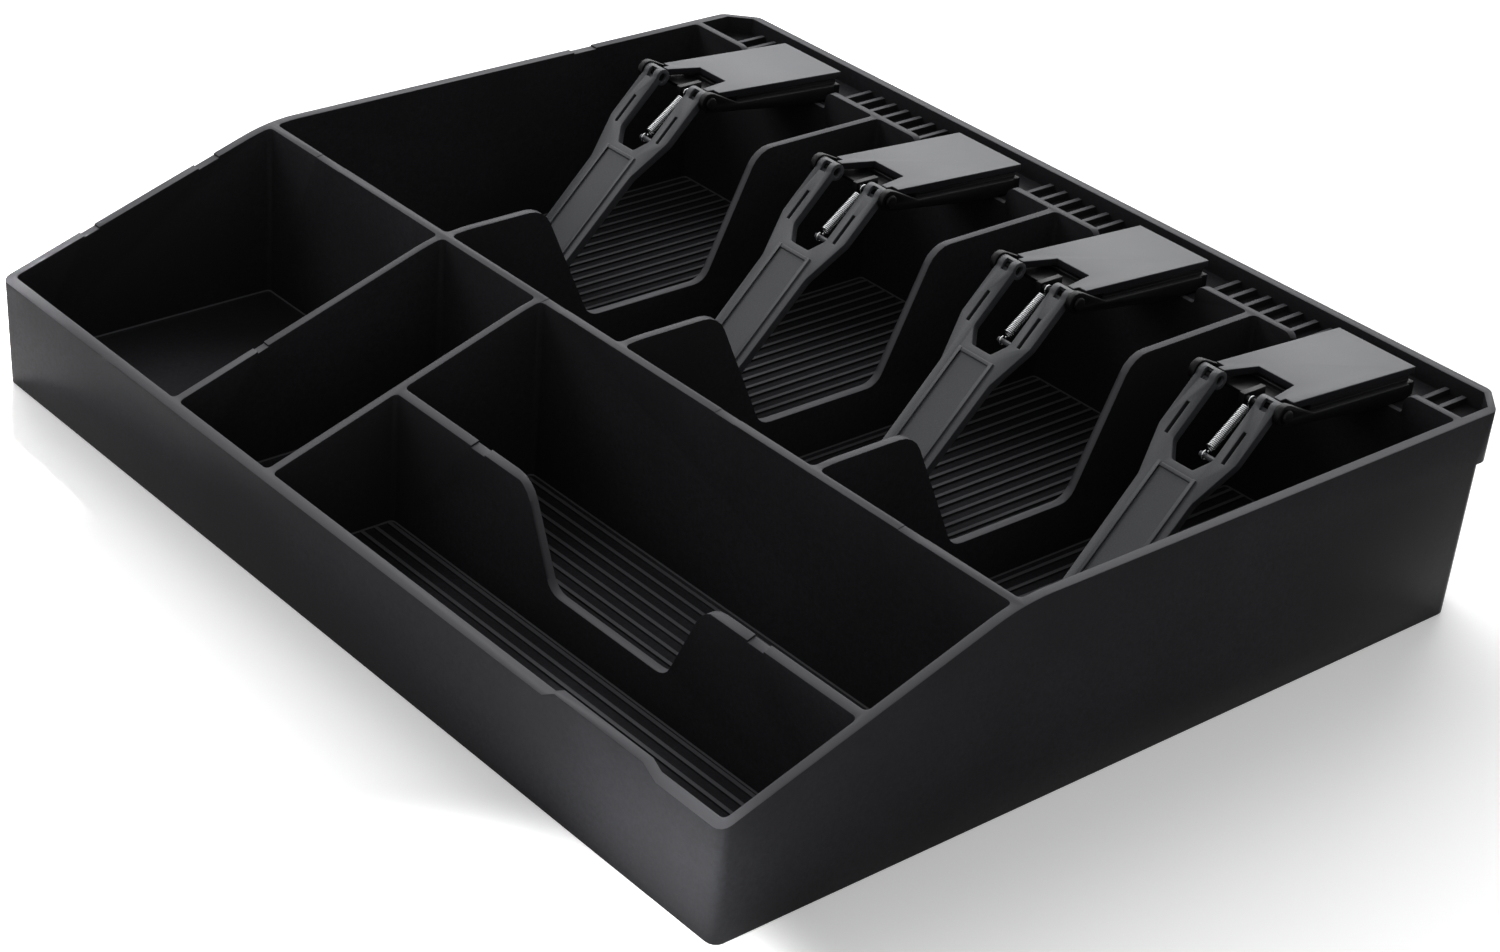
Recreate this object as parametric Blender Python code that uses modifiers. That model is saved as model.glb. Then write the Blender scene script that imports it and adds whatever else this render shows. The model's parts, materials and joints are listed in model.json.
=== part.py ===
"""Cash register tray: a moulded tray with coin cups, bill slots and four sprung bill clips.

Metres, +Z up. The front wall faces -Y, and the origin is at the centre of the underside.
Depths from the front wall ("run") are turned into Y by the function at_depth().
"""
import math

import bmesh
import bpy
from mathutils import Matrix, Vector

MM = 0.001

# Driving dimensions of the tray
WIDTH = 330 * MM
DEPTH = 280 * MM
REAR_HEIGHT = 63 * MM
FRONT_HEIGHT = 33 * MM
OUTER_WALL = 3.0 * MM
INNER_WALL = 2.4 * MM
FLOOR_TOP = 6.8 * MM
FLOOR_THICKNESS = 3.0 * MM
DIVIDE_RUN = 91.4 * MM
FIRST_SLOT_DIVIDER = -72.5 * MM
SLOT_PITCH = 80 * MM
COIN_DIVIDERS = (-73.3 * MM, -26.5 * MM)
STEP_RUN = 43.6 * MM
LEDGE_INSET = 21.5 * MM

# Outer skin
SIDE_DRAFT = 0.7 * MM
FRONT_DRAFT = 1.0 * MM
REAR_DRAFT = 2.0 * MM
FRONT_RADIUS = 3.0 * MM
REAR_CHAMFER = 9.0 * MM
REAR_ROUND = 4.0 * MM
BAND_HEIGHT = 15.5 * MM
BAND_PROUD = 3.0 * MM
RIM_ROUND = 0.5 * MM

# Insides
POCKET_RADIUS = 1.6 * MM
POCKET_DRAFT = 0.2 * MM
POCKET_FILLET = 0.8 * MM
TROUGH_FLOOR = 57.0 * MM
TOOTH_HEIGHT = 2.0 * MM
TOOTH_WIDTH = 1.6 * MM
TOOTH_PITCH = 6.0 * MM
FLOOR_RIB_HEIGHT = 0.6 * MM
FLOOR_RIB_WIDTH = 1.2 * MM
FLOOR_RIB_PITCH = 4.5 * MM
LOW_RUN = 23.0 * MM
LOW_INSET = 90.5 * MM
LOW_LENGTH = 45.0 * MM
STEP_LOW_RUN = 20.5 * MM
STEP_LOW_FROM = 45.5 * MM
STEP_LOW_TO = 93.0 * MM
FINGER_SLOPE = math.radians(65)
FINGER_TOP_RADIUS = 9.0 * MM
FINGER_LOW_RADIUS = 6.0 * MM
NOTCH_DEPTH = 0.5 * MM
LIP_HEIGHT = 3.0 * MM
LIP_FROM = 97 * MM
LIP_TO = 141 * MM
LIP_RAMP = 5 * MM
KINK_RADIUS = 60 * MM
UNDER_RIB = 4.0 * MM
UNDER_CROSS_RIB = 10.0 * MM

# Driving dimensions of a clip
CLIP_OFFSETS = (1.2 * MM, -0.2 * MM, -1.6 * MM, -1.6 * MM)
HINGE_INSET = 68 * MM
HINGE_HEIGHT = 67 * MM
ARM_ANGLE = math.radians(45)
ARM_THICKNESS = 2.6 * MM
ARM_TOP = 2.2 * MM
ARM_HEAD_HALF = 14.0 * MM
ARM_STRIP_HALF = 9.8 * MM
ARM_TIP_HALF = 9.4 * MM
SHOULDER_FROM = 18.5 * MM
SHOULDER_TO = 33.5 * MM
FORK_HALF = 7.3 * MM
FORK_BEND = 20.5 * MM
FORK_DEPTH = 25.5 * MM
FORK_ROOT_HALF = 3.8 * MM
TINE_SLOT_WIDTH = 1.2 * MM
TINE_SLOT_LENGTH = 10.5 * MM
ARM_RIB_LATERAL = 6.3 * MM
ARM_RIB_WIDTH = 1.2 * MM
ARM_RIB_HEIGHT = 0.6 * MM
KNUCKLE_RADIUS = 2.7 * MM
FOOT_RADIUS = 2.4 * MM
FOOT_ABOVE = 0.4 * MM
PIN_RADIUS = 1.2 * MM
PIN_HEAD_RADIUS = 2.0 * MM
PIN_HEAD = 0.8 * MM
CHEEK_THICKNESS = 2.0 * MM
CHEEK_NOSE = 3.2 * MM
BASE_PLATE = 2.2 * MM
BASE_STEP = 1.2 * MM
LID_HALF = 13.9 * MM
LID_SETBACK = 3.1 * MM
LID_LENGTH = 54.3 * MM
LID_THICKNESS = 2.2 * MM
LID_SLOPE = math.radians(3.9)
LID_REAR_TOP = 65.0 * MM
LID_NOTCH_HALF = 9.0 * MM
LID_NOTCH_INNER = 6.4 * MM
LID_NOTCH_DEPTH = 11.4 * MM
LID_TIP_HALF = 11.2 * MM
LID_TIP_STEP = 2.4 * MM
LID_STUD = 24 * MM
STUD_RADIUS = 1.4 * MM
SCREW_RADIUS = 1.4 * MM
SCREW_HEAD_RADIUS = 2.8 * MM
SCREW_SEAT = 2.2 * MM
SCREW_BACK = 7.6 * MM
SPRING_LATERAL = 3.2 * MM
SPRING_MEAN_RADIUS = 1.25 * MM
SPRING_WIRE_RADIUS = 0.22 * MM
SPRING_CURLS = 12
SPRING_POINTS_PER_CURL = 8
PEG_RADIUS = 0.8 * MM
HOOK_ALONG = 20.0 * MM
ANCHOR_BACK = 1.6 * MM
ANCHOR_DROP = 1.5 * MM
LUG_WIDTH = 1.8 * MM
LUG_HALF = 1.4 * MM
CLEARANCE = 0.3 * MM

# Sizes that follow from the ones above
HALF = WIDTH / 2
LEDGE_RUN = DEPTH - LEDGE_INSET
HINGE_RUN = DEPTH - HINGE_INSET
LOW_TO = DEPTH - LOW_INSET
LOW_FROM = LOW_TO - LOW_LENGTH
SLOT_DIVIDERS = tuple(FIRST_SLOT_DIVIDER + SLOT_PITCH * index for index in range(3))
HOOK_ABOVE = ARM_TOP - ARM_THICKNESS / 2
ANCHOR_RUN = HINGE_RUN + ANCHOR_BACK
ANCHOR_HEIGHT = HINGE_HEIGHT - ANCHOR_DROP
LID_RUN = HINGE_RUN + LID_SETBACK
MARGIN = 6 * MM
SIDES = 12

PARTS = "cash_register_tray"
CUTTERS = "cutters"


def clear_scene():
    """Remove every object and leave two empty collections for the parts and the cutters."""
    for item in list(bpy.data.objects):
        bpy.data.objects.remove(item, do_unlink=True)
    for name in (PARTS, CUTTERS):
        group = bpy.data.collections.new(name)
        bpy.context.scene.collection.children.link(group)


def material(name, colour, roughness, metallic=0.0):
    """Return a Principled BSDF material."""
    result = bpy.data.materials.new(name)
    result.use_nodes = True
    shader = result.node_tree.nodes["Principled BSDF"]
    shader.inputs["Base Color"].default_value = (*colour, 1.0)
    shader.inputs["Roughness"].default_value = roughness
    shader.inputs["Metallic"].default_value = metallic
    return result


def at_depth(run):
    """Turn a depth measured from the front wall into a Y coordinate."""
    return run - DEPTH / 2


def add_object(name, mesh, group=CUTTERS):
    """Put a mesh in the scene as a part or as a hidden cutter."""
    item = bpy.data.objects.new(name, mesh)
    bpy.data.collections[group].objects.link(item)
    if group == CUTTERS:
        item.hide_render = True
        item.display_type = "WIRE"
    return item


def mesh_from(name, shape):
    """Make a mesh from a bmesh whose faces all point out."""
    bmesh.ops.recalc_face_normals(shape, faces=shape.faces[:])
    mesh = bpy.data.meshes.new(name)
    shape.to_mesh(mesh)
    shape.free()
    return mesh


def smooth(item, angle=35):
    """Shade an object smooth, apart from edges sharper than the angle in degrees."""
    item.data.shade_smooth()
    item.data.set_sharp_from_angle(angle=math.radians(angle))


def rounded(corners, radii, segments=4):
    """Round the corners of a closed 2D outline.

    corners: the outline's corner points. radii: one radius for each corner, or zero.
    Returns the points of the rounded outline.
    """
    points = []
    count = len(corners)
    for index, radius in enumerate(radii):
        here = Vector(corners[index])
        back = (Vector(corners[index - 1]) - here).normalized()
        ahead = (Vector(corners[(index + 1) % count]) - here).normalized()
        if radius <= 0:
            points.append(here)
            continue
        half = back.angle(ahead) / 2
        reach = radius / math.tan(half)
        start = here + back * reach
        end = here + ahead * reach
        centre = here + (back + ahead).normalized() * radius / math.sin(half)
        first = start - centre
        turn = first.angle_signed(end - centre)
        for step in range(segments + 1):
            spin = Matrix.Rotation(-turn * step / segments, 2)
            points.append(centre + spin @ first)
    return points


def flat_piece(name, outline, thickness, group=CUTTERS):
    """Make a flat piece in the XY plane, centred on it, from a closed outline."""
    curve = bpy.data.curves.new(name, "CURVE")
    curve.dimensions = "2D"
    curve.fill_mode = "BOTH"
    curve.extrude = thickness / 2
    spline = curve.splines.new("POLY")
    spline.points.add(len(outline) - 1)
    for point, place in zip(spline.points, outline):
        point.co = (place[0], place[1], 0, 1)
    spline.use_cyclic_u = True
    return curve_to_mesh(name, curve, group)


def curve_to_mesh(name, curve, group):
    """Turn a curve into a mesh object with its caps welded."""
    source = bpy.data.objects.new(name + "_curve", curve)
    bpy.context.scene.collection.objects.link(source)
    graph = bpy.context.evaluated_depsgraph_get()
    mesh = bpy.data.meshes.new_from_object(source.evaluated_get(graph))
    bpy.data.objects.remove(source, do_unlink=True)
    shape = bmesh.new()
    shape.from_mesh(mesh)
    bmesh.ops.remove_doubles(shape, verts=shape.verts[:], dist=0.00001)
    bpy.data.meshes.remove(mesh)
    return add_object(name, mesh_from(name, shape), group)


def place(item, origin, x_axis, y_axis):
    """Bake a flat piece's mesh into a plane given by its origin and two axes."""
    x_axis = Vector(x_axis).normalized()
    y_axis = Vector(y_axis).normalized()
    z_axis = x_axis.cross(y_axis)
    frame = Matrix((x_axis, y_axis, z_axis)).transposed().to_4x4()
    item.data.transform(Matrix.Translation(origin) @ frame)
    return item


def across(name, outline, x_from, x_to, group=CUTTERS):
    """Extrude a side view, given as (Y, Z) points, from one X to another."""
    item = flat_piece(name, outline, abs(x_to - x_from), group)
    return place(item, ((x_from + x_to) / 2, 0, 0), (0, 1, 0), (0, 0, 1))


def lengthwise(name, outline, y_from, y_to, group=CUTTERS):
    """Extrude a front view, given as (X, Z) points, from one Y to another."""
    item = flat_piece(name, outline, abs(y_to - y_from), group)
    return place(item, (0, (y_from + y_to) / 2, 0), (1, 0, 0), (0, 0, 1))


def boxes(name, spans, group=CUTTERS):
    """Make one mesh of boxes, each span a pair of opposite corners."""
    shape = bmesh.new()
    for low, high in spans:
        low = Vector(low)
        high = Vector(high)
        size = Matrix.Diagonal((high - low).to_4d())
        size[3][3] = 1
        bmesh.ops.create_cube(shape, size=1, matrix=Matrix.Translation((low + high) / 2) @ size)
    return add_object(name, mesh_from(name, shape), group)


def rods(name, spans, radius, sides=SIDES, group=CUTTERS):
    """Make one mesh of round rods, each span a pair of end points."""
    shape = bmesh.new()
    for start, end in spans:
        start = Vector(start)
        end = Vector(end)
        aim = (end - start).to_track_quat("Z", "Y").to_matrix().to_4x4()
        bmesh.ops.create_cone(
            shape, cap_ends=True, segments=sides, radius1=radius, radius2=radius,
            depth=(end - start).length, matrix=Matrix.Translation((start + end) / 2) @ aim)
    item = add_object(name, mesh_from(name, shape), group)
    smooth(item)
    return item


def loft(name, rings, group=CUTTERS):
    """Skin a stack of rings, each with the same number of points, and cap both ends."""
    shape = bmesh.new()
    loops = [[shape.verts.new(point) for point in ring] for ring in rings]
    count = len(loops[0])
    shape.faces.new(loops[0])
    shape.faces.new(loops[-1])
    for lower, upper in zip(loops, loops[1:]):
        for index in range(count):
            after = (index + 1) % count
            shape.faces.new((lower[index], lower[after], upper[after], upper[index]))
    bmesh.ops.remove_doubles(shape, verts=shape.verts[:], dist=0.00001)
    return add_object(name, mesh_from(name, shape), group)


def boolean(item, operation, *others):
    """Cut, join or trim an object with others, keeping the modifiers on it."""
    for other in others:
        step = item.modifiers.new(other.name, "BOOLEAN")
        step.operation = operation
        step.object = other
        step.solver = "EXACT"


def apply_modifiers(item):
    """Replace an object's mesh by its evaluated one and drop its modifiers."""
    graph = bpy.context.evaluated_depsgraph_get()
    mesh = bpy.data.meshes.new_from_object(item.evaluated_get(graph))
    item.modifiers.clear()
    item.data = mesh


def round_rims(item):
    """Round the outward edges along the tops of an object's walls."""
    apply_modifiers(item)
    shape = bmesh.new()
    shape.from_mesh(item.data)
    bmesh.ops.remove_doubles(shape, verts=shape.verts[:], dist=0.02 * MM)
    bmesh.ops.dissolve_limit(
        shape, angle_limit=math.radians(0.2), verts=shape.verts[:], edges=shape.edges[:])
    low = LOW_RUN - 4 * MM
    rims = []
    for edge in shape.edges:
        if min(vert.co.z for vert in edge.verts) < low or len(edge.link_faces) != 2:
            continue
        upward = max(face.normal.z for face in edge.link_faces)
        if upward > 0.15 and edge.calc_face_angle_signed() > math.radians(50):
            rims.append(edge)
    bmesh.ops.bevel(
        shape, geom=rims, offset=RIM_ROUND, offset_type="OFFSET", segments=2, profile=0.5,
        affect="EDGES", clamp_overlap=True)
    bmesh.ops.remove_doubles(shape, verts=shape.verts[:], dist=0.02 * MM)
    shape.to_mesh(item.data)
    shape.free()


def outer_ring(height, rear_extra):
    """Return the tray's outline at one height, with rounded front and chamfered rear corners."""
    drop = 1 - height / REAR_HEIGHT
    half = HALF - SIDE_DRAFT * drop
    front = at_depth(FRONT_DRAFT * (1 - height / (FRONT_HEIGHT + LIP_HEIGHT)))
    body = at_depth(DEPTH - BAND_PROUD - REAR_DRAFT * drop)
    body_end = body - REAR_CHAMFER - REAR_ROUND * math.tan(math.pi / 8)
    rear = body + rear_extra
    side_end = rear - REAR_CHAMFER
    corners = (
        (-half, front), (half, front), (half, body_end),
        (half, side_end), (half - REAR_CHAMFER, rear), (REAR_CHAMFER - half, rear),
        (-half, side_end), (-half, body_end),
    )
    soft = REAR_ROUND
    flat = rounded(corners, (FRONT_RADIUS, FRONT_RADIUS, 0, soft, soft, soft, soft, 0))
    return [(point[0], point[1], height) for point in flat]


def slope_height(run):
    """Return the height of the sloping rim at a depth in front of the kink."""
    return FRONT_HEIGHT + (REAR_HEIGHT - FRONT_HEIGHT) * run / DIVIDE_RUN


def pocket(name, x_span, run_span, floor, top, segments=3):
    """Make the cutter of one compartment: rounded corners, drafted walls and a filleted floor."""
    rings = []
    steps = ((POCKET_DRAFT + POCKET_FILLET, floor), (POCKET_DRAFT, floor + POCKET_FILLET), (0, top))
    for inset, height in steps:
        left = x_span[0] + inset
        right = x_span[1] - inset
        front = at_depth(run_span[0] + inset)
        rear = at_depth(run_span[1] - inset)
        corners = ((left, front), (right, front), (right, rear), (left, rear))
        radius = POCKET_RADIUS - inset
        flat = rounded(corners, (radius,) * 4, segments)
        rings.append([(point[0], point[1], height) for point in flat])
    return loft(name, rings)


def compartments():
    """List the compartments as (name, X span, span of depths from the front)."""
    left = -HALF + OUTER_WALL
    right = HALF - OUTER_WALL
    half_wall = INNER_WALL / 2
    walls = [left - half_wall, *SLOT_DIVIDERS, right + half_wall]
    result = []
    for index in range(4):
        span = (walls[index] + half_wall, walls[index + 1] - half_wall)
        result.append((f"slot_{index + 1}", span, (DIVIDE_RUN + half_wall, LEDGE_RUN - half_wall)))
    front = OUTER_WALL
    rear = DIVIDE_RUN - half_wall
    first, second = COIN_DIVIDERS
    result.append(("cup_1", (left, first - half_wall), (front, rear)))
    result.append(("cup_2", (first + half_wall, second - half_wall), (front, rear)))
    result.append(("cup_3", (second + half_wall, right), (STEP_RUN + half_wall, rear)))
    result.append(("cup_4", (second + half_wall, right), (front, STEP_RUN - half_wall)))
    return result


def finger_gap(start, end, low, high):
    """Return a cut-out with sloping, rounded sides, as points along and up."""
    lean = (high - low) / math.tan(FINGER_SLOPE)
    far = FINGER_TOP_RADIUS * 1.5
    above = high + 3 * MARGIN
    corners = (
        (start - lean - far, above), (start - lean - far, high), (start - lean, high),
        (start, low), (end, low), (end + lean, high), (end + lean + far, high), (end + lean + far, above),
    )
    top, base = FINGER_TOP_RADIUS, FINGER_LOW_RADIUS
    return rounded(corners, (0, 0, top, base, base, top, 0, 0))


def clip_centres():
    """Return the X of each clip, close to the centre line of its bill slot."""
    spans = [span for name, span, run in compartments() if name.startswith("slot")]
    return [(span[0] + span[1]) / 2 + offset for span, offset in zip(spans, CLIP_OFFSETS)]


def lid_bottom(run):
    """Return the height of a lid's underside at a depth from the front."""
    rear_run = LID_RUN + LID_LENGTH * math.cos(LID_SLOPE)
    return LID_REAR_TOP - LID_THICKNESS / math.cos(LID_SLOPE) + (rear_run - run) * math.tan(LID_SLOPE)


def front_cut():
    """Make the cutter that gives the rims over the coin cups their slope, apart from the front lip."""
    far = 30 * MM
    top = REAR_HEIGHT + far
    above = REAR_HEIGHT + 0.02 * MM
    corners = (
        (at_depth(-far), slope_height(-far)), (at_depth(DIVIDE_RUN), above),
        (at_depth(DIVIDE_RUN + far), above), (at_depth(DIVIDE_RUN + far), top), (at_depth(-far), top),
    )
    outline = rounded(corners, (0, KINK_RADIUS, 0, 0, 0), segments=6)
    cut = across("slope", outline, -HALF - MARGIN, HALF + MARGIN)
    low = FRONT_HEIGHT - 8 * MM
    high = FRONT_HEIGHT + LIP_HEIGHT
    corners = (
        (LIP_FROM, low), (LIP_TO, low), (LIP_TO, FRONT_HEIGHT), (LIP_TO - LIP_RAMP, high),
        (LIP_FROM + LIP_RAMP, high), (LIP_FROM, FRONT_HEIGHT),
    )
    keep = lengthwise("lip", corners, at_depth(-far - MARGIN), at_depth(OUTER_WALL + MM))
    boolean(cut, "DIFFERENCE", keep)
    return cut


def tray_notches():
    """Make the cutters of the shallow notches along the tops of the walls, which follow their slope."""
    inside = HALF - OUTER_WALL - MM
    coin = COIN_DIVIDERS[0]
    wall = INNER_WALL
    places = []
    for left, right in ((-137, -125), (-25, -17), (50, 58), (121, 129)):
        places.append((left * MM, right * MM, DIVIDE_RUN - wall, DIVIDE_RUN + wall))
    for left, right in ((9, 15), (122, 128)):
        places.append((left * MM, right * MM, STEP_RUN - wall, STEP_RUN + wall))
    for near, away in ((26, 31), (65, 72), (206, 215)):
        places.append((-HALF - MARGIN, -inside, near * MM, away * MM))
    places.append((coin - wall, coin + wall, 28.5 * MM, 32 * MM))
    result = []
    for index, (left, right, near, away) in enumerate(places):
        corners = [
            (at_depth(run), min(slope_height(run), REAR_HEIGHT) - NOTCH_DEPTH) for run in (near, away)]
        corners += [(at_depth(away), REAR_HEIGHT + MARGIN), (at_depth(near), REAR_HEIGHT + MARGIN)]
        result.append(across(f"notch_{index + 1}", corners, left, right))
    return result


def floor_ribs():
    """Make the low ribs on the floors of the slots and of the two wide coin cups."""
    spans = []
    low = FLOOR_TOP - 1.0 * MM
    high = FLOOR_TOP + FLOOR_RIB_HEIGHT
    bite = 0.8 * MM
    half = FLOOR_RIB_WIDTH / 2
    for name, x_span, run_span in compartments():
        if name in ("cup_1", "cup_2"):
            continue
        ends = x_span if name.startswith("slot") else run_span
        room = ends[1] - ends[0] - 2 * (POCKET_DRAFT + POCKET_FILLET) - FLOOR_RIB_WIDTH
        count = int(room / FLOOR_RIB_PITCH)
        first = (ends[0] + ends[1]) / 2 - count * FLOOR_RIB_PITCH / 2
        for index in range(count + 1):
            middle = first + index * FLOOR_RIB_PITCH
            if name.startswith("slot"):
                near = (middle - half, at_depth(run_span[0] - bite), low)
                spans.append((near, (middle + half, at_depth(run_span[1] + bite), high)))
            else:
                near = (x_span[0] - bite, at_depth(middle - half), low)
                spans.append((near, (x_span[1] + bite, at_depth(middle + half), high)))
    return boxes("floor_ribs", spans)


def underside():
    """Make the cutters under the floor and inside the raised rear part."""
    recess = FLOOR_TOP - FLOOR_THICKNESS
    half = UNDER_RIB / 2
    cross = UNDER_CROSS_RIB / 2
    edge = HALF - SIDE_DRAFT - OUTER_WALL
    walls = [-edge - half, *SLOT_DIVIDERS, edge + half]
    front = FRONT_DRAFT + OUTER_WALL
    rows = ((front, DIVIDE_RUN - cross), (DIVIDE_RUN + cross, LEDGE_RUN - INNER_WALL))
    spans = []
    for left, right in zip(walls, walls[1:]):
        for row in rows:
            low = (left + half, at_depth(row[0]), -MARGIN)
            spans.append((low, (right - half, at_depth(row[1]), recess)))
    rear = DEPTH - BAND_PROUD - REAR_DRAFT - OUTER_WALL
    reach = HALF - SIDE_DRAFT - REAR_CHAMFER - 2 * OUTER_WALL
    low = (-reach, at_depth(LEDGE_RUN + INNER_WALL / 2), -MARGIN)
    spans.append((low, (reach, at_depth(rear), TROUGH_FLOOR - INNER_WALL)))
    return boxes("underside", spans)


def trough():
    """Make the cutter of the shallow trough behind the ledge wall."""
    inside = HALF - OUTER_WALL
    front = at_depth(LEDGE_RUN + INNER_WALL / 2)
    rear = at_depth(DEPTH - OUTER_WALL)
    chamfer = REAR_CHAMFER - OUTER_WALL
    corners = (
        (-inside, front), (inside, front), (inside, rear - chamfer),
        (inside - chamfer, rear), (chamfer - inside, rear), (-inside, rear - chamfer),
    )
    height = MARGIN + REAR_HEIGHT - TROUGH_FLOOR
    item = flat_piece("trough", corners, height)
    item.data.transform(Matrix.Translation((0, 0, TROUGH_FLOOR + height / 2)))
    return item


def trough_teeth():
    """Make the low ribs across the trough, in all places but those of the clips."""
    near = at_depth(LEDGE_RUN + INNER_WALL / 2 - 0.8 * MM)
    away = at_depth(DEPTH - OUTER_WALL + 0.8 * MM)
    half = TOOTH_WIDTH / 2
    keep = ARM_HEAD_HALF + CHEEK_THICKNESS + CLEARANCE + half
    count = int((HALF - REAR_CHAMFER - TOOTH_WIDTH) / TOOTH_PITCH)
    spans = []
    for index in range(-count, count + 1):
        middle = index * TOOTH_PITCH
        if min(abs(middle - centre) for centre in clip_centres()) > keep:
            low = (middle - half, near, TROUGH_FLOOR - MM)
            spans.append((low, (middle + half, away, TROUGH_FLOOR + TOOTH_HEIGHT)))
    return boxes("trough_teeth", spans)


def ledge_gaps():
    """Make the cutters that drop the ledge wall under each clip."""
    half = ARM_HEAD_HALF + CHEEK_THICKNESS + 4.5 * MM
    result = []
    for index, centre in enumerate(clip_centres()):
        top = REAR_HEIGHT + 0.02 * MM
        corners = (
            (centre - half - MARGIN, top + MARGIN), (centre - half - MARGIN, top), (centre - half, top),
            (centre - half, TROUGH_FLOOR), (centre + half, TROUGH_FLOOR), (centre + half, top),
            (centre + half + MARGIN, top), (centre + half + MARGIN, top + MARGIN),
        )
        outline = rounded(corners, (0, 0, 3 * MM, 1 * MM, 1 * MM, 3 * MM, 0, 0))
        item = lengthwise(
            f"ledge_gap_{index + 1}", outline, at_depth(LEDGE_RUN - 2 * MM), at_depth(LEDGE_RUN + 3 * MM))
        result.append(item)
    return result


def screw_place(centre):
    """Return the X and Y of a clip's screw."""
    return centre, at_depth(LEDGE_RUN + SCREW_BACK)


def build_tray(finish):
    """Build the moulded tray."""
    band_foot = REAR_HEIGHT - BAND_HEIGHT
    rings = [outer_ring(0, 0), outer_ring(band_foot, 0)]
    rings.append(outer_ring(band_foot, BAND_PROUD))
    rings.append(outer_ring(REAR_HEIGHT, BAND_PROUD))
    tray = loft("tray_body", rings, PARTS)
    tray.data.materials.append(finish)
    boolean(tray, "DIFFERENCE", front_cut())
    for name, x_span, run_span in compartments():
        boolean(tray, "DIFFERENCE", pocket(name, x_span, run_span, FLOOR_TOP, REAR_HEIGHT + MARGIN))
    boolean(tray, "DIFFERENCE", trough(), *ledge_gaps())
    gap = finger_gap(at_depth(LOW_FROM), at_depth(LOW_TO), LOW_RUN, REAR_HEIGHT + 0.02 * MM)
    reach = 2 * INNER_WALL
    boolean(tray, "DIFFERENCE", across("slot_gap", gap, SLOT_DIVIDERS[0] - reach, SLOT_DIVIDERS[2] + reach))
    crest = slope_height(STEP_RUN + INNER_WALL / 2) + 0.02 * MM
    gap = finger_gap(STEP_LOW_FROM, STEP_LOW_TO, STEP_LOW_RUN, crest)
    boolean(tray, "DIFFERENCE", lengthwise(
        "cup_gap", gap, at_depth(STEP_RUN - INNER_WALL), at_depth(STEP_RUN + INNER_WALL)))
    boolean(tray, "DIFFERENCE", *tray_notches(), underside())
    holes = []
    for centre in clip_centres():
        x, y = screw_place(centre)
        holes.append(((x, y, TROUGH_FLOOR - 2 * MARGIN), (x, y, TROUGH_FLOOR + MARGIN)))
    boolean(tray, "DIFFERENCE", rods("screw_holes", holes, SCREW_RADIUS + CLEARANCE, 8))
    round_rims(tray)
    boolean(tray, "UNION", floor_ribs(), trough_teeth())
    return tray


def arm_point(side, along, above):
    """Return a point of the arm in its own frame: sideways, down its length, above the hinge axis."""
    return Vector((side, -along, above))


def foot_along():
    """Return how far down the arm its foot lies, so that it rests just above the floor ribs."""
    rest = FLOOR_TOP + FLOOR_RIB_HEIGHT + CLEARANCE
    drop = HINGE_HEIGHT + FOOT_ABOVE * math.cos(ARM_ANGLE) - FOOT_RADIUS - rest
    return drop / math.sin(ARM_ANGLE)


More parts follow.
